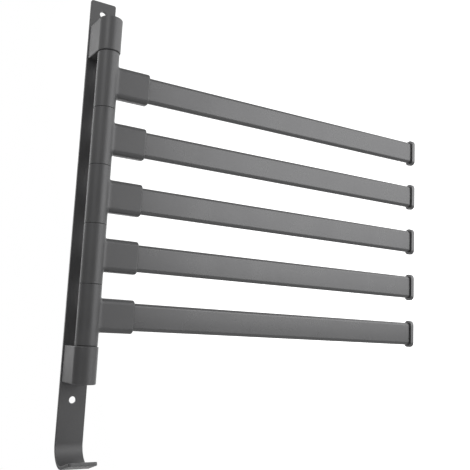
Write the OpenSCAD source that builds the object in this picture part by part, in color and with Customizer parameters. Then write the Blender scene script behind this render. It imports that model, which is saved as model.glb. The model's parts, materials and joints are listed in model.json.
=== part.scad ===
// Swing arm towel bar: five flat-oval arms that swivel one above the other on a
// vertical pole. Two D-shaped clips hold the pole off a flat wall strip, and the
// strip's bottom end is bent forward into a hook.
//
// X points right along the arms at rest, Y points into the wall and Z points up.
// The origin is midway between the two wall holes, on the back of the strip.

/* [Back strip] */
// Width of the flat strip
strip_w = 25; // [20:0.5:34]
// Thickness of the strip
strip_t = 3; // [2.2:0.1:4]
// Length of strip above the upper clip
strip_above = 28.1; // [24:0.1:60]
// Straight length of strip below the lower clip
strip_below = 52.9; // [26:0.2:100]
// Radius of the strip's corners
strip_corner_r = 2; // [1:0.25:8]
// Distance from a clip's outer end to its wall hole
wall_hole_offset = 15.7; // [10:0.1:20]
// Diameter of the wall holes
wall_hole_d = 6.2; // [4:0.1:8]

/* [Hook] */
// Inner radius of the hook's bend
hook_r = 16.5; // [12:0.5:30]
// Angle that the bend turns through
hook_wrap = 107; // [92:1:150]
// Straight length of the lip past the bend
lip_len = 21; // [8:0.5:30]

/* [Clips] */
// Diameter of a clip's round front
clip_w = 21.6; // [18:0.2:30]
// Width of a clip where it meets the strip
clip_base_w = 23.3; // [18:0.1:34]
// Height of a clip
clip_h = 32.6; // [28:0.1:50]
// Distance from the strip's front face to the pole's centre
standoff = 25.3; // [22:0.1:40]
// Thickness of a clip's closed end, past the shaft
clip_end_t = 10; // [6:0.5:14]
// Distance between the two screws that hold a clip
clip_screw_spacing = 18; // [12:0.5:20]
// Thread diameter of the clip screws
clip_screw_d = 4; // [3:0.5:5]
// Head diameter of the clip screws
clip_screw_head_d = 7.6; // [6:0.2:8]
// Length of the clip screws
clip_screw_l = 12; // [8:1:14]

/* [Pole] */
// Diameter of the pivot shaft
shaft_d = 10; // [6:0.5:11]
// Thread diameter of the screws in the shaft's ends
shaft_screw_d = 5; // [3:0.5:5]
// Head diameter of the shaft screws
shaft_screw_head_d = 9.2; // [7:0.2:10]
// Length of the shaft screws
shaft_screw_l = 20; // [16:1:24]
// Thickness of the washers at the ends of the stack
washer_t = 0.6; // [0.4:0.1:2]
// Diameter of the washers at the ends of the stack
washer_d = 19.4; // [14:0.1:20]

/* [Hubs] */
// Outer diameter of a hub's sleeve
hub_d = 20; // [17:0.5:26]
// Height of a hub's sleeve
hub_h = 53.5; // [40:0.5:90]
// Open seam between two hubs
hub_seam = 0.3; // [0.2:0.1:1]
// Chamfer on the ends of a hub's sleeve
hub_chamfer = 0.3; // [0.1:0.1:1]
// Wall thickness of a hub's plastic liner
liner_wall = 1.3; // [0.8:0.1:1.8]

/* [Sockets] */
// Distance from the pole's centre to a socket's mouth
socket_reach = 41; // [32:0.5:60]
// Wall thickness of a socket
socket_wall = 2.5; // [1.8:0.1:4]
// Radius of a socket's long outer edges
socket_corner_r = 5; // [2:0.25:5.5]
// Metal between the sleeve's surface and the socket's floor
socket_floor_t = 4; // [2:0.5:8]
// Thread diameter of the screw that holds an arm
arm_screw_d = 3; // [2:0.5:4]
// Head diameter of the screw that holds an arm
arm_screw_head_d = 5.6; // [4.4:0.2:6]
// Length of the screw that holds an arm
arm_screw_l = 6; // [4.5:0.5:8]

/* [Arms] */
// Height of an arm tube
arm_h = 25.2; // [18:0.2:32]
// Thickness of an arm tube, front to back
arm_t = 7.4; // [7.4:0.1:12]
// Radius of an arm tube's long edges
arm_corner_r = 3.6; // [1.5:0.1:3.6]
// Wall thickness of an arm tube
arm_wall = 1.2; // [0.8:0.1:1.4]
// Distance from the pole's centre to an arm tube's outer end
arm_reach = 382.2; // [200:0.1:500]

/* [End caps] */
// Thickness of an end cap's flange
cap_flange_t = 5; // [3:0.25:8]
// How far an end cap's flange stands proud above and below the tube
cap_margin = 2.5; // [1.6:0.1:4]
// How far the flange stands proud in front of and behind the tube
cap_side_margin = 1.9; // [1.6:0.1:4]
// Radius of the flange's corners
cap_corner_r = 5.2; // [3:0.1:5.5]
// Softened edge of the flange's outer face
cap_edge = 1.2; // [0.5:0.1:2]
// Length of the plug inside the tube
plug_l = 14; // [8:1:30]
// Wall thickness of the hollow plug
plug_wall = 1.2; // [0.8:0.1:1.4]

/* [Fits] */
// Radial clearance of a liner on the shaft
running_gap = 0.05; // [0.02:0.01:0.1]
// Clearance of a piece in its fixed seat
seat_gap = 0.02; // [0.01:0.01:0.05]
// Clearance of a tube in its socket and of a plug in its tube
tube_gap = 0.1; // [0.05:0.05:0.3]

/* [Hidden] */
$fn = 64;
hull_sides = 32;
arm_count = 5;

function numbered(name) = [for (i = [1 : arm_count]) str(name, "_", i)];

// How far cuts run past the surface that they open
overrun = 1;
// Thickness of the slices that a softened edge is stretched between
slice_t = 0.01;
// Free depth past the tip of each screw
tip_gap = 1;
// Width across the hexagon sockets, as a share of the screw's thread
drive_share = 0.62;
// Depth of the hexagon sockets, as a share of the screw's thread
drive_depth_share = 0.5;
// Chamfer on the shaft's ends
shaft_chamfer = 0.6;
// How far the lip starts inside the end of the bend
lip_overlap = 0.3;
// Step from the bend's faces in to the lip's, so that the two meet cleanly
lip_step = 0.01;
// Least radius of a rounded corner inside a wall
least_r = 0.2;

pole_y = -(strip_t + standoff);
hub_pitch = hub_h + hub_seam;
stack_h = arm_count * hub_pitch;
clip_inner_z = stack_h / 2 + washer_t;
clip_outer_z = clip_inner_z + clip_h;
shaft_end_z = clip_outer_z - clip_end_t;
wall_hole_z = clip_outer_z + wall_hole_offset;
strip_top_z = clip_outer_z + strip_above;
hook_z = -(clip_outer_z + strip_below);
hook_y = -(strip_t + hook_r);
liner_inner_d = shaft_d + 2 * running_gap;
liner_outer_d = liner_inner_d + 2 * liner_wall;
socket_h = arm_h + 2 * (tube_gap + socket_wall);
socket_t = arm_t + 2 * (tube_gap + socket_wall);
socket_floor_x = hub_d / 2 + socket_floor_t;
arm_screw_x = (socket_floor_x + socket_reach) / 2;
bore_h = arm_h - 2 * arm_wall;
bore_t = arm_t - 2 * arm_wall;
bore_corner_r = inner_r(arm_corner_r, arm_wall);

// Corner radius inside a wall whose outer corners have radius r
function inner_r(r, wall) = max(r - wall, least_r);

// Height of an arm's middle, counted from the top
function arm_z(i) = ((arm_count + 1) / 2 - i) * hub_pitch;

// Rounded rectangle, t across and h tall, about its centre
module rounded_section(t, h, r) {
    square([t - 2 * r, h], center = true);
    square([t, h - 2 * r], center = true);
    for (x = [-1, 1], y = [-1, 1])
        translate([x * (t / 2 - r), y * (h / 2 - r)])
            circle(r = r);
}

// Rounded bar along X from x0 to x1
module bar(x0, x1, t, h, r) {
    translate([x0, 0, 0])
        rotate([90, 0, 90])
            linear_extrude(x1 - x0)
                rounded_section(t, h, r);
}

// Upright rod about its centre with both ends chamfered
module chamfered_rod(d, h, c) {
    r = d / 2;
    rotate_extrude()
        polygon([
            [0, -h / 2],
            [r - c, -h / 2],
            [r, -h / 2 + c],
            [r, h / 2 - c],
            [r - c, h / 2],
            [0, h / 2]
        ]);
}

// Flat outline of width w, from y = 0 to y = length, with its far corners rounded
module strip_outline(w, length) {
    r = strip_corner_r;
    translate([-w / 2, 0])
        square([w, length - r]);
    translate([-w / 2 + r, 0])
        square([w - 2 * r, length]);
    for (side = [-1, 1])
        translate([side * (w / 2 - r), length - r])
            circle(r = r);
}

// Countersunk screw, tip at z = 0 and head flush at z = length
module countersunk_screw(d, head_d, length) {
    drive_depth = drive_depth_share * d;
    difference() {
        union() {
            cylinder(d = d, h = length);
            countersink(d, head_d, length, 0);
        }
        translate([0, 0, length - drive_depth])
            cylinder(d = drive_share * d, h = drive_depth + overrun, $fn = 6);
    }
}

// Cone of a countersunk head whose face is at z = top, grown by a clearance
module countersink(d, head_d, top, gap) {
    head_h = (head_d - d) / 2;
    translate([0, 0, top - head_h])
        cylinder(d1 = d + 2 * gap, d2 = head_d + 2 * gap, h = head_h);
}

// Hole for such a screw, open past its tip and past its head
module screw_hole(d, head_d, length) {
    translate([0, 0, -tip_gap])
        cylinder(d = d + 2 * seat_gap, h = length + tip_gap);
    countersink(d, head_d, length, seat_gap);
    translate([0, 0, length])
        cylinder(d = head_d + 2 * seat_gap, h = overrun);
}

// Repeats its child, made for the upper end, at the lower end as well
module both_ends() {
    children();
    mirror([0, 0, 1])
        children();
}

// Puts its child at the two screws of the upper clip, driven from the strip's back
module at_clip_screws() {
    for (side = [-1, 1])
        translate([0, 0, clip_inner_z + clip_h / 2 + side * clip_screw_spacing / 2])
            rotate([-90, 0, 0])
                translate([0, 0, -clip_screw_l])
                    children();
}

// Puts its child at the screw in the upper end of the shaft
module at_shaft_screw() {
    translate([0, pole_y, clip_outer_z - shaft_screw_l])
        children();
}

// Puts its child at the screw in the wall side of a socket
module at_arm_screw() {
    translate([arm_screw_x, socket_t / 2 - arm_screw_l, 0])
        rotate([-90, 0, 0])
            children();
}

// Puts its child at the middle of an arm's hub
module on_arm(i) {
    translate([0, pole_y, arm_z(i)])
        children();
}

// Bend below the strip and the straight lip past it
module hook() {
    translate([0, hook_y, hook_z])
        rotate([-90, 0, 90]) {
            rotate_extrude(angle = hook_wrap)
                translate([hook_r, -strip_w / 2])
                    square([strip_t, strip_w]);
            rotate([0, 0, hook_wrap])
                translate([hook_r + lip_step, -lip_overlap, 0])
                    rotate([0, 90, 0])
                        linear_extrude(strip_t - 2 * lip_step)
                            strip_outline(strip_w - 2 * lip_step, lip_len + lip_overlap);
        }
}

module back_strip() {
    color("#5a5a5c")
        difference() {
            union() {
                translate([0, 0, hook_z])
                    rotate([90, 0, 0])
                        linear_extrude(strip_t)
                            strip_outline(strip_w, strip_top_z - hook_z);
                hook();
            }
            for (side = [-1, 1])
                translate([0, overrun, side * wall_hole_z])
                    rotate([90, 0, 0])
                        cylinder(d = wall_hole_d, h = strip_t + 2 * overrun);
            both_ends()
                at_clip_screws()
                    screw_hole(clip_screw_d, clip_screw_head_d, clip_screw_l);
        }
}

// Flat outline of a clip: a round front, and sides that run on to its wider base
module clip_outline() {
    r = clip_w / 2;
    base = [clip_base_w / 2, standoff];
    turn = atan2(base.y, base.x) - acos(r / norm(base));
    shoulder = [r * cos(turn), r * sin(turn)];
    circle(r = r);
    polygon([shoulder, base, [-base.x, base.y], [-shoulder.x, shoulder.y]]);
}

module clip() {
    color("#666668")
        difference() {
            translate([0, pole_y, clip_inner_z])
                linear_extrude(clip_h)
                    clip_outline();
            translate([0, pole_y, clip_inner_z - overrun])
                cylinder(d = shaft_d + 2 * seat_gap, h = shaft_end_z - clip_inner_z + overrun);
            at_shaft_screw()
                screw_hole(shaft_screw_d, shaft_screw_head_d, shaft_screw_l);
            at_clip_screws()
                screw_hole(clip_screw_d, clip_screw_head_d, clip_screw_l);
        }
}

module clip_screws() {
    color("silver")
        at_clip_screws()
            countersunk_screw(clip_screw_d, clip_screw_head_d, clip_screw_l);
}

module shaft_screw() {
    color("silver")
        at_shaft_screw()
            countersunk_screw(shaft_screw_d, shaft_screw_head_d, shaft_screw_l);
}

module pivot_shaft() {
    color("lightgray")
        difference() {
            translate([0, pole_y, 0])
                chamfered_rod(shaft_d, 2 * shaft_end_z, shaft_chamfer);
            both_ends()
                at_shaft_screw()
                    screw_hole(shaft_screw_d, shaft_screw_head_d, shaft_screw_l);
        }
}

module washer() {
    color("#2c2c2c")
        translate([0, pole_y, stack_h / 2])
            difference() {
                cylinder(d = washer_d, h = washer_t);
                translate([0, 0, -overrun])
                    cylinder(d = liner_inner_d, h = washer_t + 2 * overrun);
            }
}

module hub(i) {
    color("#626264")
        on_arm(i)
            difference() {
                union() {
                    chamfered_rod(hub_d, hub_h, hub_chamfer);
                    bar(0, socket_reach, socket_t, socket_h, socket_corner_r);
                }
                cylinder(d = liner_outer_d + 2 * seat_gap, h = hub_h + 2 * overrun, center = true);
                bar(
                    socket_floor_x,
                    socket_reach + overrun,
                    arm_t + 2 * tube_gap,
                    arm_h + 2 * tube_gap,
                    arm_corner_r + tube_gap
                );
                at_arm_screw()
                    screw_hole(arm_screw_d, arm_screw_head_d, arm_screw_l);
            }
}

module hub_liner(i) {
    color("#2c2c2c")
        on_arm(i)
            difference() {
                cylinder(d = liner_outer_d, h = hub_pitch, center = true);
                cylinder(d = liner_inner_d, h = hub_pitch + 2 * overrun, center = true);
            }
}

module arm_tube(i) {
    color("#6e6e70")
        on_arm(i)
            difference() {
                bar(socket_floor_x, arm_reach, arm_t, arm_h, arm_corner_r);
                bar(socket_floor_x - overrun, arm_reach + overrun, bore_t, bore_h, bore_corner_r);
                at_arm_screw()
                    cylinder(d = arm_screw_d + 2 * seat_gap, h = arm_screw_l);
            }
}

module arm_screw(i) {
    color("silver")
        on_arm(i)
            at_arm_screw()
                countersunk_screw(arm_screw_d, arm_screw_head_d, arm_screw_l);
}

module end_cap(i) {
    flange_t = arm_t + 2 * cap_side_margin;
    flange_h = arm_h + 2 * cap_margin;
    edge_x = arm_reach + cap_flange_t - cap_edge;
    face_x = arm_reach + cap_flange_t;
    plug_t = bore_t - 2 * tube_gap;
    plug_h = bore_h - 2 * tube_gap;
    plug_r = inner_r(bore_corner_r, tube_gap);
    color("#77777a")
        on_arm(i)
            difference() {
                union() {
                    bar(arm_reach - plug_l, arm_reach + overrun, plug_t, plug_h, plug_r);
                    bar(arm_reach, edge_x, flange_t, flange_h, cap_corner_r);
                    hull() {
                        bar(edge_x - slice_t, edge_x, flange_t, flange_h, cap_corner_r, $fn = hull_sides);
                        bar(
                            face_x - slice_t,
                            face_x,
                            flange_t - 2 * cap_edge,
                            flange_h - 2 * cap_edge,
                            cap_corner_r - cap_edge,
                            $fn = hull_sides
                        );
                    }
                }
                bar(
                    arm_reach - plug_l - overrun,
                    arm_reach,
                    plug_t - 2 * plug_wall,
                    plug_h - 2 * plug_wall,
                    inner_r(plug_r, plug_wall)
                );
            }
}

back_strip();
clip();  // upper_clip
mirror([0, 0, 1]) clip();  // lower_clip
clip_screws();  // upper_clip_screws
mirror([0, 0, 1]) clip_screws();  // lower_clip_screws
pivot_shaft();
shaft_screw();  // upper_shaft_screw
mirror([0, 0, 1]) shaft_screw();  // lower_shaft_screw
washer();  // upper_washer
mirror([0, 0, 1]) washer();  // lower_washer
for (i = [1 : arm_count]) {
    hub(i);
    hub_liner(i);
    arm_tube(i);
    arm_screw(i);
    end_cap(i);
}
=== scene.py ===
import bpy, bmesh, json
from math import radians, sin, cos, acos, atan2, hypot
from mathutils import Matrix, Vector


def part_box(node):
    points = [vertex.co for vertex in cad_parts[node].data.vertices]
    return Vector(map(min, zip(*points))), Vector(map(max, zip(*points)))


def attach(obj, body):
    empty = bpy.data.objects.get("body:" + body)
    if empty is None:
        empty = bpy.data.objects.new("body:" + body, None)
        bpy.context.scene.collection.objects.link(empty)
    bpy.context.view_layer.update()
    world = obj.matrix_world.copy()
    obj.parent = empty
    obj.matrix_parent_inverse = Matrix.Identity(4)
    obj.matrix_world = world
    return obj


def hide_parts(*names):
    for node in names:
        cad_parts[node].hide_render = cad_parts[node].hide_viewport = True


# Swing arm towel bar: five swivelling flat-oval arms on a pole, clipped to a hooked wall strip
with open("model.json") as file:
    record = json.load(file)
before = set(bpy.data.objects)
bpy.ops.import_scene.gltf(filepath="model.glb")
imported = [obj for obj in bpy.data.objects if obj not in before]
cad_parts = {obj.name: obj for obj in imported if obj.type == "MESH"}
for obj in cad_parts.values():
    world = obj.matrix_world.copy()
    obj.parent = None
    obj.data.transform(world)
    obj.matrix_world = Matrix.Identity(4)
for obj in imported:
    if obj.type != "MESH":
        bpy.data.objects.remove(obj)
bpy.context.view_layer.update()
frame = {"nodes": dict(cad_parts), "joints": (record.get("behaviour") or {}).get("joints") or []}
mm = 0.001
closeEnough = 0.02 * mm  # places nearer to each other than this count as one
mergeDistance = 0.001 * mm
overrun = 1 * mm         # cutters and plugs reach this far past the face they go through
facing = 0.9             # a normal with this much along a direction faces it
armNumbers = range(1, 6)
poleY = frame["joints"][0]["pos_m"][1]
print("frame loaded:", len(frame["nodes"]), "nodes")


# small helpers for working on the active piece
def deselectAll():
    if bpy.context.object and bpy.context.object.mode != "OBJECT":
        bpy.ops.object.mode_set(mode="OBJECT")
    bpy.ops.object.select_all(action="DESELECT")


def newPiece(name):      # takes the primitive that was just added
    piece = bpy.context.object
    piece.name = name
    piece.data.name = name
    bpy.ops.object.transform_apply(location=True, rotation=True, scale=True)
    return piece


def makeActive(piece):
    deselectAll()
    piece.select_set(True)
    bpy.context.view_layer.objects.active = piece


def addBlock(name, low, high):
    deselectAll()
    middle = [(a + b) / 2 for a, b in zip(low, high)]
    bpy.ops.mesh.primitive_cube_add(size=1, location=middle)
    bpy.context.object.scale = [b - a for a, b in zip(low, high)]
    return newPiece(name)


def addRod(name, radius, start, end, sides=64):
    deselectAll()
    start, end = Vector(start), Vector(end)
    along = end - start
    bpy.ops.mesh.primitive_cylinder_add(
        vertices=sides, radius=radius, depth=along.length, location=(start + end) / 2,
        rotation=along.to_track_quat("Z", "Y").to_euler())
    return newPiece(name)


def editOn(piece, mode="EDGE"):
    makeActive(piece)
    bpy.ops.object.mode_set(mode="EDIT")
    bpy.ops.mesh.select_mode(type=mode)
    bpy.ops.mesh.select_all(action="DESELECT")


def editOff():
    bpy.ops.object.mode_set(mode="OBJECT")


def pickEdges(test):     # test gets an edge's two ends and its faces
    mesh = bmesh.from_edit_mesh(bpy.context.object.data)
    for edge in mesh.edges:
        a, b = (vertex.co for vertex in edge.verts)
        edge.select_set(bool(test(a, b, edge.link_faces)))
    mesh.select_flush_mode()
    bmesh.update_edit_mesh(bpy.context.object.data)


def pickFaces(test):     # test gets a face's middle and its normal
    mesh = bmesh.from_edit_mesh(bpy.context.object.data)
    for face in mesh.faces:
        face.select_set(bool(test(face.calc_center_median(), face.normal)))
    mesh.select_flush_mode()
    bmesh.update_edit_mesh(bpy.context.object.data)


def pickVertices(test):  # test gets a corner's place
    mesh = bmesh.from_edit_mesh(bpy.context.object.data)
    for vertex in mesh.verts:
        vertex.select_set(bool(test(vertex.co)))
    mesh.select_flush_mode()
    bmesh.update_edit_mesh(bpy.context.object.data)


def near(a, b):
    return abs(a - b) < closeEnough


def roundEdges(piece, test, radius, steps):
    editOn(piece)
    pickEdges(test)
    bpy.ops.mesh.bevel(offset=radius, segments=steps, profile=0.5, clamp_overlap=False)
    editOff()


def deleteFaces(piece, test):
    editOn(piece, "FACE")
    pickFaces(test)
    bpy.ops.mesh.delete(type="FACE")
    editOff()


def applyModifier(piece, kind, **settings):
    makeActive(piece)
    modifier = piece.modifiers.new(kind.title(), kind)
    for key, value in settings.items():
        setattr(modifier, key, value)
    bpy.ops.object.modifier_apply(modifier=modifier.name)


def combine(piece, tool, how="DIFFERENCE"):
    applyModifier(piece, "BOOLEAN", object=tool, operation=how, solver="EXACT")
    bpy.data.objects.remove(tool)


def cleanUp(piece, smoothAngle=32):
    editOn(piece)
    bpy.ops.mesh.select_all(action="SELECT")
    bpy.ops.mesh.remove_doubles(threshold=mergeDistance)
    bpy.ops.mesh.normals_make_consistent(inside=False)
    editOff()
    bpy.ops.object.shade_smooth_by_angle(angle=radians(smoothAngle))
    applyModifier(piece, "WEIGHTED_NORMAL", keep_sharp=True)


def copyPiece(piece, name, shift):
    copy = piece.copy()
    copy.data = piece.data.copy()
    copy.name = name
    copy.data.name = name
    copy.data.transform(Matrix.Translation(shift))
    bpy.context.scene.collection.objects.link(copy)
    return copy


def joinPieces(piece, others):
    makeActive(piece)
    for other in others:
        other.select_set(True)
    bpy.ops.object.join()


def finishPiece(piece, node, body):
    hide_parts(node)
    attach(piece, body)
    piece.data.materials.clear()
    piece.data.materials.append(finishes[piece.name.rstrip("_12345")])


# a rounded flat bar along the arms' direction; half is its half depth and half height
def addBar(name, startX, endX, half, radius, steps=8):
    bar = addBlock(name, (startX, poleY - half[0], -half[1]), (endX, poleY + half[0], half[1]))
    roundEdges(bar, lambda a, b, faces: near(a.y, b.y) and near(a.z, b.z), radius, steps)
    return bar


# countersunk screws: shank radius, head radius, length
screws = {
    "clip": (2 * mm, 3.8 * mm, 12 * mm),
    "shaft": (2.5 * mm, 4.6 * mm, 20 * mm),
    "arm": (1.5 * mm, 2.8 * mm, 6 * mm),
    "sides": 40, "driveSides": 6, "driveShare": 0.62,
    "edge": 0.12 * mm, "edgeSteps": 2, "edgeAngle": 30,
    "gap": 0.02 * mm, "clipSpacing": 18 * mm,
}


def addShank(name, shank, head, headAt, tipAt):    # a rod whose head end widens at 45 degrees
    neck = headAt + (tipAt - headAt).normalized() * (head - shank)
    piece = addRod(name, shank, tipAt, neck, screws["sides"])
    editOn(piece, "FACE")
    pickFaces(lambda middle, normal: (middle - neck).length < closeEnough)
    bpy.ops.mesh.extrude_region_move(TRANSFORM_OT_translate={"value": headAt - neck})
    bpy.ops.transform.resize(value=(head / shank,) * 3, center_override=headAt)
    editOff()
    return piece


def makeScrew(name, kind, headAt, direction):    # direction runs from the head to the tip
    shank, head, length = screws[kind]
    headAt, direction = Vector(headAt), Vector(direction)
    piece = addShank(name, shank, head, headAt, headAt + direction * length)
    drive = addRod("cutter", screws["driveShare"] * shank, headAt - direction * overrun,
                   headAt + direction * shank, screws["driveSides"])
    combine(piece, drive)
    applyModifier(piece, "BEVEL", width=screws["edge"], segments=screws["edgeSteps"],
                  limit_method="ANGLE", angle_limit=radians(screws["edgeAngle"]))
    cleanUp(piece)
    return piece


def cutScrewSeat(piece, kind, headAt, direction):
    shank, head, length = screws[kind]
    gap = screws["gap"]
    headAt, direction = Vector(headAt), Vector(direction)
    seat = addShank("cutter", shank + gap, head + gap + overrun, headAt - direction * overrun,
                    headAt + direction * (length + overrun))
    combine(piece, seat)


def clipScrewHeights(end):
    low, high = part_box(end + "_clip")
    middle = (low.z + high.z) / 2
    return (middle - screws["clipSpacing"] / 2, middle + screws["clipSpacing"] / 2)


# wall strip, bent into a hook at its lower end
strip = {
    "thickness": 3 * mm, "bendRadius": 16.5 * mm, "bendAngle": 107, "bendSteps": 28,
    "lipLength": 21 * mm, "lipZone": 3.6 * mm,    # the lip's end corners lie within this zone
    "cornerRadius": 2 * mm, "cornerSteps": 8,
    "rolledEdge": 0.5 * mm, "rolledSteps": 2, "rolledAngle": 40,
    "wallHoleRadius": 3.1 * mm, "wallHoleHeight": 183.4 * mm,
}


def makeStrip():
    low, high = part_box("back_strip")
    t = strip["thickness"]
    bendCentre = Vector((0, -(t + strip["bendRadius"]), low.z + t + strip["bendRadius"]))
    turn = radians(strip["bendAngle"])
    piece = addBlock("wall_strip", (low.x, -t, bendCentre.z), (high.x, 0, high.z))
    editOn(piece, "FACE")
    pickFaces(lambda middle, normal: normal.z < -facing)
    bpy.ops.mesh.spin(steps=strip["bendSteps"], angle=turn, center=bendCentre, axis=(1, 0, 0))
    lip = Vector((0, -sin(turn), -cos(turn))) * strip["lipLength"]
    bpy.ops.mesh.extrude_region_move(TRANSFORM_OT_translate={"value": lip})
    mesh = bmesh.from_edit_mesh(piece.data)
    inside = [f for f in mesh.faces if all(len(e.link_faces) > 2 for e in f.edges)]
    bmesh.ops.delete(mesh, geom=inside, context="FACES_ONLY")
    bmesh.update_edit_mesh(piece.data)
    bpy.ops.mesh.select_all(action="SELECT")
    bpy.ops.mesh.remove_doubles(threshold=mergeDistance)
    bpy.ops.mesh.normals_make_consistent(inside=False)
    editOff()
    lipEnd = min(v.co.y for v in piece.data.vertices) + strip["lipZone"]

    def cornerEdge(a, b, faces):
        atTop = near(a.z, high.z) and near(b.z, high.z)
        return near(a.x, b.x) and (atTop or (a.y < lipEnd and b.y < lipEnd))

    roundEdges(piece, cornerEdge, strip["cornerRadius"], strip["cornerSteps"])
    for side in (-1, 1):
        at = side * strip["wallHoleHeight"]
        combine(piece, addRod("cutter", strip["wallHoleRadius"], (0, -t - overrun, at), (0, overrun, at)))
    for end in ("upper", "lower"):
        for at in clipScrewHeights(end):
            cutScrewSeat(piece, "clip", (0, 0, at), (0, -1, 0))
    applyModifier(piece, "BEVEL", width=strip["rolledEdge"], segments=strip["rolledSteps"],
                  limit_method="ANGLE", angle_limit=radians(strip["rolledAngle"]), use_clamp_overlap=False)
    cleanUp(piece)
    return piece


# D-shaped clips that hold the shaft off the strip
clip = {
    "radius": 10.8 * mm, "sides": 128, "edge": 0.8 * mm, "edgeSteps": 3,
    "boreRadius": 5.02 * mm, "boreDepth": 22.6 * mm,
}


def makeClip(end):
    low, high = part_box(end + "_clip")
    away = 1 if end == "upper" else -1           # from the arms outwards
    inner, outer = (low.z, high.z) if away > 0 else (high.z, low.z)
    piece = addRod(end + "_clip_casting", clip["radius"], (0, poleY, low.z), (0, poleY, high.z),
                   clip["sides"])
    halfBase, depth = high.x, high.y - poleY     # the sides run on from the round front to a wider base
    shoulder = atan2(depth, halfBase) - acos(clip["radius"] / hypot(halfBase, depth))
    shoulderX, shoulderY = clip["radius"] * cos(shoulder), poleY + clip["radius"] * sin(shoulder)
    editOn(piece, "FACE")
    bpy.ops.mesh.select_all(action="SELECT")
    bpy.ops.mesh.bisect(plane_co=(0, shoulderY, 0), plane_no=(0, 1, 0), use_fill=True, clear_outer=True)
    pickFaces(lambda middle, normal: normal.y > facing and near(middle.y, shoulderY))
    bpy.ops.mesh.extrude_region_move(TRANSFORM_OT_translate={"value": (0, high.y - shoulderY, 0)})
    bpy.ops.transform.resize(value=(halfBase / shoulderX, 1, 1), center_override=(0, high.y, 0))
    editOff()

    def rim(a, b, faces):                        # an end's outline, but not its edge on the strip
        atEnd = near(a.z, b.z) and (near(a.z, low.z) or near(a.z, high.z))
        isCorner = min(abs(face.normal.z) for face in faces) < facing
        return atEnd and isCorner and not (near(a.y, high.y) and near(b.y, high.y))

    roundEdges(piece, rim, clip["edge"], clip["edgeSteps"])
    combine(piece, addRod("cutter", clip["boreRadius"], (0, poleY, inner - away * overrun),
                          (0, poleY, inner + away * clip["boreDepth"])))
    cutScrewSeat(piece, "shaft", (0, poleY, outer), (0, 0, -away))
    for at in clipScrewHeights(end):
        cutScrewSeat(piece, "clip", (0, 0, at), (0, -1, 0))
    cleanUp(piece)
    return piece


# hubs: a sleeve that turns on the pole, blended into the socket that holds an arm
hub = {
    "sleeveRadius": 10 * mm, "sleeveSides": 72, "sleeveEdge": 0.25 * mm, "sleeveSteps": 3,
    "boreRadius": 6.37 * mm,
    "socketHalf": (6.3 * mm, 15.2 * mm), "socketRadius": 5 * mm, "socketSteps": 16,
    "mouthEdge": 1.5 * mm, "mouthSteps": 4,
    "blendHalf": (8.15 * mm, 17.4 * mm), "blendRadius": 6.5 * mm,    # the blend's outline on the sleeve
    "blendFromX": 4 * mm, "blendPastX": 20 * mm, "insideShare": 0.97,
    "blendEndX": 11.9 * mm, "footCuts": 3, "blendCuts": 6,
    "pocketHalf": (3.8 * mm, 12.7 * mm), "pocketRadius": 3.7 * mm, "pocketFloor": 14 * mm,
    "screwX": 27.5 * mm,
}


def makeHub():
    low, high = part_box("hub_3")
    piece = addRod("hub_casting_3", hub["sleeveRadius"], (0, poleY, low.z), (0, poleY, high.z),
                   hub["sleeveSides"])
    roundEdges(piece, lambda a, b, faces: near(a.z, b.z), hub["sleeveEdge"], hub["sleeveSteps"])
    combine(piece, addBar("cutter", hub["blendFromX"], hub["blendPastX"], hub["blendHalf"],
                          hub["blendRadius"]))
    insideRadius = hub["insideShare"] * hub["sleeveRadius"]
    deleteFaces(piece, lambda middle, normal: abs(middle.z) < hub["blendHalf"][1] + overrun
                and hypot(middle.x, middle.y - poleY) < insideRadius)
    footX = hub["blendEndX"]
    socket = addBar("socket", footX, high.x, hub["socketHalf"], hub["socketRadius"], hub["socketSteps"])
    roundEdges(socket, lambda a, b, faces: near(a.x, high.x) and near(b.x, high.x),
               hub["mouthEdge"], hub["mouthSteps"])
    deleteFaces(socket, lambda middle, normal: normal.x < -facing)
    editOn(socket)                               # more corners on the foot's top and bottom edges
    pickEdges(lambda a, b, faces: near(a.x, footX) and near(b.x, footX) and near(a.y, 2 * poleY - b.y))
    bpy.ops.mesh.subdivide(number_cuts=hub["footCuts"])
    editOff()
    joinPieces(piece, [socket])
    editOn(piece)
    pickEdges(lambda a, b, faces: len(faces) == 1)
    bpy.ops.mesh.bridge_edge_loops(number_cuts=hub["blendCuts"], interpolation="SURFACE", smoothness=1)
    bpy.ops.mesh.select_all(action="SELECT")
    bpy.ops.mesh.normals_make_consistent(inside=False)
    editOff()
    combine(piece, addBar("cutter", hub["pocketFloor"], high.x + overrun, hub["pocketHalf"],
                          hub["pocketRadius"]))
    combine(piece, addRod("cutter", hub["boreRadius"], (0, poleY, low.z - overrun),
                          (0, poleY, high.z + overrun)))
    cutScrewSeat(piece, "arm", (hub["screwX"], poleY + hub["socketHalf"][0], 0), (0, -1, 0))
    cleanUp(piece)
    return piece


# arm tubes
arm = {
    "half": (3.7 * mm, 12.6 * mm), "radius": 3.5 * mm, "steps": 12, "wall": 1.2 * mm,
    "crown": 0.12 * mm, "crownCuts": 3, "sideFacing": 0.99,
    "crownShares": ((0, 1), (0.5, 0.75)),        # share of the flat's half height, share of the crown
}


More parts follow.
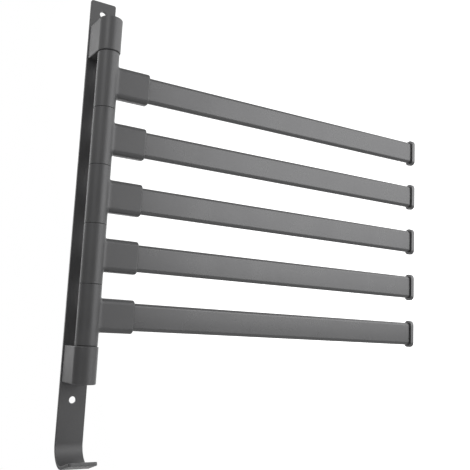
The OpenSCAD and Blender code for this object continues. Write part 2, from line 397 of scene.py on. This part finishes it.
def makeArm():
    low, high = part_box("arm_tube_3")
    halfDepth, halfHeight = arm["half"]
    piece = addBar("arm_extrusion_3", low.x, high.x, (halfDepth - arm["crown"], halfHeight),
                   arm["radius"], arm["steps"])
    deleteFaces(piece, lambda middle, normal: abs(normal.x) > facing)
    flat = halfHeight - arm["radius"]
    for side in (-1, 1):                         # the broad sides bulge a little
        editOn(piece, "FACE")
        pickFaces(lambda middle, normal: normal.y * side > arm["sideFacing"])
        bpy.ops.mesh.subdivide(number_cuts=arm["crownCuts"])
        for heightShare, riseShare in arm["crownShares"]:
            bpy.ops.mesh.select_mode(type="VERT")
            pickVertices(lambda at: (at.y - poleY) * side > 0 and near(abs(at.z), heightShare * flat))
            bpy.ops.transform.translate(value=(0, side * riseShare * arm["crown"], 0))
        editOff()
    applyModifier(piece, "SOLIDIFY", thickness=arm["wall"], offset=-1, use_even_offset=True)
    holeRadius = screws["arm"][0] + screws["gap"]
    combine(piece, addRod("cutter", holeRadius, (hub["screwX"], poleY + halfDepth + overrun, 0),
                          (hub["screwX"], poleY, 0), screws["sides"]))
    cleanUp(piece)
    return piece


# end caps, pushed into the tubes
cap = {
    "half": (5.6 * mm, 15.1 * mm), "radius": 5.2 * mm, "steps": 10,
    "outerEdge": 1.3 * mm, "outerSteps": 5, "innerEdge": 0.3 * mm, "innerSteps": 2,
    "plugHalf": (2.4 * mm, 11.3 * mm), "plugRadius": 2.3 * mm, "plugSteps": 6,
    "hollowHalf": (1.2 * mm, 10.1 * mm), "hollowRadius": 1.1 * mm,
}


def makeCap():
    low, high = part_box("end_cap_3")
    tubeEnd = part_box("arm_tube_3")[1].x
    piece = addBar("cap_moulding_3", tubeEnd, high.x, cap["half"], cap["radius"], cap["steps"])
    roundEdges(piece, lambda a, b, faces: near(a.x, high.x) and near(b.x, high.x),
               cap["outerEdge"], cap["outerSteps"])
    roundEdges(piece, lambda a, b, faces: near(a.x, tubeEnd) and near(b.x, tubeEnd),
               cap["innerEdge"], cap["innerSteps"])
    plug = addBar("plug", low.x, tubeEnd + overrun, cap["plugHalf"], cap["plugRadius"], cap["plugSteps"])
    combine(piece, plug, "UNION")
    hollow = addBar("cutter", low.x - overrun, tubeEnd, cap["hollowHalf"], cap["hollowRadius"],
                    cap["plugSteps"])
    combine(piece, hollow)
    cleanUp(piece)
    return piece


# materials: every pattern is in metres on object coordinates
def newMaterial(name):
    material = bpy.data.materials.new(name)
    material.use_nodes = True
    nodes = material.node_tree.nodes
    return material, nodes["Principled BSDF"], nodes.new("ShaderNodeTexCoord").outputs["Object"]


def connect(value, socket):
    socket.id_data.links.new(value, socket)


def noise(place, grain, detail=2.0, stretch=(1, 1, 1)):    # grain is its size in metres
    mapping = place.id_data.nodes.new("ShaderNodeMapping")
    mapping.inputs["Scale"].default_value = [s / grain for s in stretch]
    texture = place.id_data.nodes.new("ShaderNodeTexNoise")
    texture.inputs["Scale"].default_value = 1
    texture.inputs["Detail"].default_value = detail
    connect(place, mapping.inputs["Vector"])
    connect(mapping.outputs["Vector"], texture.inputs["Vector"])
    return texture.outputs["Fac"]


def remap(value, low, high, fromLow=0.3, fromHigh=0.7):    # a noise lies mostly between 0.3 and 0.7
    node = value.id_data.nodes.new("ShaderNodeMapRange")
    node.inputs["From Min"].default_value = fromLow
    node.inputs["From Max"].default_value = fromHigh
    node.inputs["To Min"].default_value = low
    node.inputs["To Max"].default_value = high
    connect(value, node.inputs["Value"])
    return node.outputs["Result"]


def calculate(operation, *values):     # each value is a socket or a number
    tree = next(value for value in values if not isinstance(value, (int, float))).id_data
    node = tree.nodes.new("ShaderNodeMath")
    node.operation = operation
    for socket, value in zip(node.inputs, values):
        if isinstance(value, (int, float)):
            socket.default_value = value
        else:
            connect(value, socket)
    return node.outputs["Value"]


def tint(value, dark, light):
    node = value.id_data.nodes.new("ShaderNodeValToRGB")
    start, end = node.color_ramp.elements
    start.position, start.color = 0, (*dark, 1)
    end.position, end.color = 1, (*light, 1)
    connect(value, node.inputs["Fac"])
    return node.outputs["Color"]


def bump(height, strength, distance, under=None):
    node = height.id_data.nodes.new("ShaderNodeBump")
    node.inputs["Strength"].default_value = strength
    node.inputs["Distance"].default_value = distance
    connect(height, node.inputs["Height"])
    if under:
        connect(under, node.inputs["Normal"])
    return node.outputs["Normal"]


def shades(colour, darkShare, lightShare):
    return [c * darkShare for c in colour], [c * lightShare for c in colour]


coatings = {
    "casting": {"colour": (0.120, 0.120, 0.122), "roughness": 0.46, "lines": 0.0, "peel": 0.25},
    "extrusion": {"colour": (0.125, 0.125, 0.127), "roughness": 0.29, "lines": 0.15, "peel": 0.08},
    "sheet": {"colour": (0.130, 0.130, 0.132), "roughness": 0.46, "lines": 0.0, "peel": 0.22},
    "moulding": {"colour": (0.145, 0.145, 0.147), "roughness": 0.30, "lines": 0.0, "peel": 0.10},
    "metalShare": 0.57,                          # the coat holds metal flakes
    "shades": (0.78, 1.22),
    "fleckSize": 0.35 * mm, "fleckShare": 0.6, "fleckBump": 0.12, "fleckDepth": 0.02 * mm,
    "driftSize": 30 * mm, "driftShare": 0.4, "driftRoughness": 0.04,
    "detail": 3, "fineDetail": 1,
    "wornRadius": 0.5 * mm, "wornRays": 4, "wornRange": (0.75, 0.99), "wornShare": 0.18,
    "wornPolish": 0.06,
    "peelSize": 1.6 * mm, "peelDepth": 0.05 * mm,
    "lineSize": 0.5 * mm, "lineStretch": (0.004, 1, 1), "lineShare": 0.3, "lineDepth": 0.02 * mm,
}


def wornEdges(tree):     # 1 on sharp edges, 0 on flats
    bevel = tree.nodes.new("ShaderNodeBevel")
    bevel.samples = coatings["wornRays"]
    bevel.inputs["Radius"].default_value = coatings["wornRadius"]
    dot = tree.nodes.new("ShaderNodeVectorMath")
    dot.operation = "DOT_PRODUCT"
    connect(bevel.outputs["Normal"], dot.inputs[0])
    connect(tree.nodes.new("ShaderNodeNewGeometry").outputs["Normal"], dot.inputs[1])
    return remap(dot.outputs["Value"], 1, 0, *coatings["wornRange"])


def makeCoating(kind):
    look = coatings[kind]
    material, shader, place = newMaterial("powder coat on " + kind)
    shader.inputs["Metallic"].default_value = coatings["metalShare"]
    fleck = noise(place, coatings["fleckSize"], coatings["detail"])
    drift = noise(place, coatings["driftSize"], coatings["detail"])
    worn = wornEdges(material.node_tree)
    tone = calculate("ADD", calculate("MULTIPLY", fleck, coatings["fleckShare"]),
                     calculate("MULTIPLY", drift, coatings["driftShare"]))
    tone = calculate("ADD", tone, calculate("MULTIPLY", worn, coatings["wornShare"]))
    connect(tint(tone, *shades(look["colour"], *coatings["shades"])), shader.inputs["Base Color"])
    spread = coatings["driftRoughness"]
    rough = remap(drift, look["roughness"] - spread, look["roughness"] + spread)
    rough = calculate("SUBTRACT", rough, calculate("MULTIPLY", worn, coatings["wornPolish"]))
    connect(rough, shader.inputs["Roughness"])
    peel = noise(place, coatings["peelSize"], coatings["fineDetail"])
    surface = bump(peel, look["peel"], coatings["peelDepth"])
    surface = bump(fleck, coatings["fleckBump"], coatings["fleckDepth"], surface)
    if look["lines"]:
        lines = noise(place, coatings["lineSize"], coatings["fineDetail"], coatings["lineStretch"])
        surface = bump(lines, look["lines"] * coatings["lineShare"], coatings["lineDepth"], surface)
    connect(surface, shader.inputs["Normal"])
    return material


plastic = {
    "colour": (0.03, 0.03, 0.03), "roughness": 0.5, "roughnessSpread": 0.06, "shades": (0.8, 1.2),
    "mottleSize": 2 * mm, "mottleDetail": 3, "pitSize": 0.3 * mm, "pitBump": 0.2, "pitDepth": 0.02 * mm,
}


def makePlastic(name):
    material, shader, place = newMaterial(name)
    mottle = noise(place, plastic["mottleSize"], plastic["mottleDetail"])
    connect(tint(mottle, *shades(plastic["colour"], *plastic["shades"])), shader.inputs["Base Color"])
    rough = remap(mottle, plastic["roughness"] - plastic["roughnessSpread"],
                  plastic["roughness"] + plastic["roughnessSpread"])
    connect(rough, shader.inputs["Roughness"])
    pits = bump(noise(place, plastic["pitSize"]), plastic["pitBump"], plastic["pitDepth"])
    connect(pits, shader.inputs["Normal"])
    return material


metals = {
    "zinc plate": {"colour": (0.55, 0.55, 0.54), "roughness": 0.32, "stretch": (1, 1, 1)},
    "ground steel": {"colour": (0.6, 0.6, 0.6), "roughness": 0.24, "stretch": (1, 1, 0.03)},
    "smoother": 0.08, "rougher": 0.1, "shades": (0.85, 1.1), "stainSize": 4 * mm, "stainDetail": 3,
    "grainSize": 0.2 * mm, "grainDetail": 2, "grainBump": 0.15, "grainDepth": 0.01 * mm,
}


def makeMetal(name):
    look = metals[name]
    material, shader, place = newMaterial(name)
    shader.inputs["Metallic"].default_value = 1
    grain = noise(place, metals["grainSize"], metals["grainDetail"], look["stretch"])
    stain = noise(place, metals["stainSize"], metals["stainDetail"])
    connect(tint(stain, *shades(look["colour"], *metals["shades"])), shader.inputs["Base Color"])
    rough = remap(grain, look["roughness"] - metals["smoother"], look["roughness"] + metals["rougher"])
    connect(rough, shader.inputs["Roughness"])
    connect(bump(grain, metals["grainBump"], metals["grainDepth"]), shader.inputs["Normal"])
    return material


zinc = makeMetal("zinc plate")
groundSteel = makeMetal("ground steel")
bearingPlastic = makePlastic("bearing plastic")
finishes = {
    "wall_strip": makeCoating("sheet"),
    "upper_clip_casting": makeCoating("casting"),
    "hub_casting": makeCoating("casting"),
    "arm_extrusion": makeCoating("extrusion"),
    "cap_moulding": makeCoating("moulding"),
    "arm_screw_countersunk": zinc,
}
finishes["lower_clip_casting"] = finishes["upper_clip_casting"]
for name in ("upper_clip_screw_pair", "lower_clip_screw_pair", "upper_pole_screw", "lower_pole_screw"):
    finishes[name] = zinc
print("materials ready:", len(bpy.data.materials))

finishPiece(makeStrip(), "back_strip", "wall_frame")
print("strip built")
for end in ("upper", "lower"):
    away = 1 if end == "upper" else -1
    finishPiece(makeClip(end), end + "_clip", "wall_frame")
    first, second = clipScrewHeights(end)
    pair = makeScrew(end + "_clip_screw_pair", "clip", (0, 0, first), (0, -1, 0))
    joinPieces(pair, [copyPiece(pair, "second", (0, 0, second - first))])
    finishPiece(pair, end + "_clip_screws", "wall_frame")
    clipLow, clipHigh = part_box(end + "_clip")
    headZ = clipHigh.z if end == "upper" else clipLow.z
    poleScrew = makeScrew(end + "_pole_screw", "shaft", (0, poleY, headZ), (0, 0, -away))
    finishPiece(poleScrew, end + "_shaft_screw", "wall_frame")
print("clips built")

armScrewHead = (hub["screwX"], poleY + hub["socketHalf"][0], 0)
models = {               # modelled once, on the third arm
    "hub": (makeHub(), "powder_coat"),
    "arm_tube": (makeArm(), "powder_coat"),
    "end_cap": (makeCap(), "powder_coat"),
    "arm_screw": (makeScrew("arm_screw_countersunk_3", "arm", armScrewHead, (0, -1, 0)), "steel_screws"),
}
for node, (model, slot) in models.items():
    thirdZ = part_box(node + "_3")[0].z
    for number in armNumbers:
        shift = (0, 0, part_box(f"{node}_{number}")[0].z - thirdZ)
        name = model.name.rstrip("3") + str(number)
        piece = model if number == 3 else copyPiece(model, name, shift)
        finishPiece(piece, f"{node}_{number}", f"swing_arm_{number}")
print("arms built")

# the CAD nodes that show as they are
for node, material in {
    "pivot_shaft": groundSteel, "upper_washer": bearingPlastic, "lower_washer": bearingPlastic,
    **{f"hub_liner_{number}": bearingPlastic for number in armNumbers},
}.items():
    mesh = frame["nodes"][node].data
    if mesh.materials:
        for i in range(len(mesh.materials)):
            mesh.materials[i] = material
    else:
        mesh.materials.append(material)
print("CAD nodes dressed")

# pale floor, far below the hanging rack; it glows only where the camera sees it
ground = {
    "low": (-2, -2, -1.12), "high": (2.4, 2, -1.10), "patchSize": 0.4, "roughness": 0.8, "glow": 0.65,
    "dark": (0.63, 0.63, 0.63), "light": (0.67, 0.67, 0.67), "glowColour": (1, 1, 1, 1),
}
floor = addBlock("floor", ground["low"], ground["high"])
floorPaint, shader, place = newMaterial("pale floor")
connect(tint(noise(place, ground["patchSize"]), ground["dark"], ground["light"]), shader.inputs["Base Color"])
shader.inputs["Roughness"].default_value = ground["roughness"]
shader.inputs["Emission Color"].default_value = ground["glowColour"]
seenDirectly = floorPaint.node_tree.nodes.new("ShaderNodeLightPath").outputs["Is Camera Ray"]
connect(calculate("MULTIPLY", seenDirectly, ground["glow"]), shader.inputs["Emission Strength"])
floor.data.materials.append(floorPaint)

# white surround for the camera; the coat mirrors a grey room with a dark band low on its left.
# Each fade is the level before it, the level after it, and where it starts and ends along a direction
studio = {
    "bandHeight": -0.10, "colour": (1, 1, 1, 1),
    "band": (0.16, 1, 0.12, 0.5),
    "cameraSide": (0.32, 1, -0.95, -0.65),
    "farLeft": (0.5, 1, -1, -0.8),
    "right": (0.65, 0.95, -0.4, 0),
    "rightBack": (1, 1.75, 0, 0.5),
    "farRight": (1, 0.72, 0.74, 0.9),
    "rightShare": (0, 1, 0.1, 0.5),
    "overhead": (1, 0.4, 0.6, 0.95),
    "highBack": (1, 0.7, 0.2, 0.6),
    "lowBack": (1, 2.6, 0.2, 0.35),
}


def fade(direction, name):
    return remap(direction, *studio[name])


def multiplied(first, *others):
    for other in others:
        first = calculate("MULTIPLY", first, other)
    return first


world = bpy.data.worlds.new("studio")
bpy.context.scene.world = world
world.use_nodes = True
nodes = world.node_tree.nodes
background = nodes["Background"]
split = nodes.new("ShaderNodeSeparateXYZ")
connect(nodes.new("ShaderNodeTexCoord").outputs["Generated"], split.inputs["Vector"])
towardsX, towardsY, towardsZ = split.outputs
offBand = calculate("ABSOLUTE", calculate("SUBTRACT", towardsZ, studio["bandHeight"]))
left = multiplied(fade(offBand, "band"), fade(towardsY, "cameraSide"), fade(towardsX, "farLeft"))
right = multiplied(fade(towardsZ, "right"), fade(towardsY, "rightBack"), fade(towardsX, "farRight"))
rightShare = fade(towardsX, "rightShare")
room = calculate("ADD", multiplied(rightShare, right),
                 multiplied(calculate("SUBTRACT", 1, rightShare), left))
highBack = calculate("MINIMUM", towardsY, towardsZ)
lowBack = calculate("MINIMUM", towardsY, calculate("MULTIPLY", towardsZ, -1))
room = multiplied(room, fade(towardsZ, "overhead"), fade(highBack, "highBack"), fade(lowBack, "lowBack"))
lightPath = nodes.new("ShaderNodeLightPath")
seen = calculate("MAXIMUM", lightPath.outputs["Is Camera Ray"], lightPath.outputs["Is Transmission Ray"])
connect(calculate("MAXIMUM", seen, room), background.inputs["Strength"])
background.inputs["Color"].default_value = studio["colour"]

# area lamps: place, the point they face, width and height in metres, power in watts
lamps = {
    "key softbox": ((1.21, -1.38, 0.49), (0.12, -0.02, -0.07), 1.15, 1.13, 6.6),
    "right panel": ((1.75, -0.30, 0.80), (0.12, -0.02, 0), 1.6, 1.3, 6.5),
    "back panel": ((-0.53, 1.60, 0.30), (0.12, -0.02, 0), 0.9, 1.3, 5.5),
    "left strip light": ((-0.89, -0.83, 0.97), (0, -0.03, 0.17), 0.22, 0.6, 2.3),
}
for name, (place, target, width, height, power) in lamps.items():
    deselectAll()
    bpy.ops.object.light_add(type="AREA", location=place)
    lamp = bpy.context.object
    lamp.name = name
    lamp.data.shape = "RECTANGLE"
    lamp.data.size, lamp.data.size_y = width, height
    lamp.data.energy = power
    lamp.rotation_euler = (Vector(target) - Vector(place)).to_track_quat("-Z", "Y").to_euler()
print("studio lit by", len(lamps), "lamps")

# camera where the photograph was taken from
photoCamera = {
    "place": (-0.19936, -0.61876, -0.12298), "turn": (98.607, -2.642, -30.676),
    "lens": 52.73, "sensorWidth": 36, "clipStart": 10 * mm,
}
deselectAll()
bpy.ops.object.camera_add(location=photoCamera["place"],
                          rotation=[radians(angle) for angle in photoCamera["turn"]])
camera = bpy.context.object
camera.name = "photo camera"
camera.data.lens = photoCamera["lens"]
camera.data.sensor_width = photoCamera["sensorWidth"]
camera.data.clip_start = photoCamera["clipStart"]
bpy.context.scene.camera = camera
bpy.context.scene.view_settings.view_transform = "Standard"
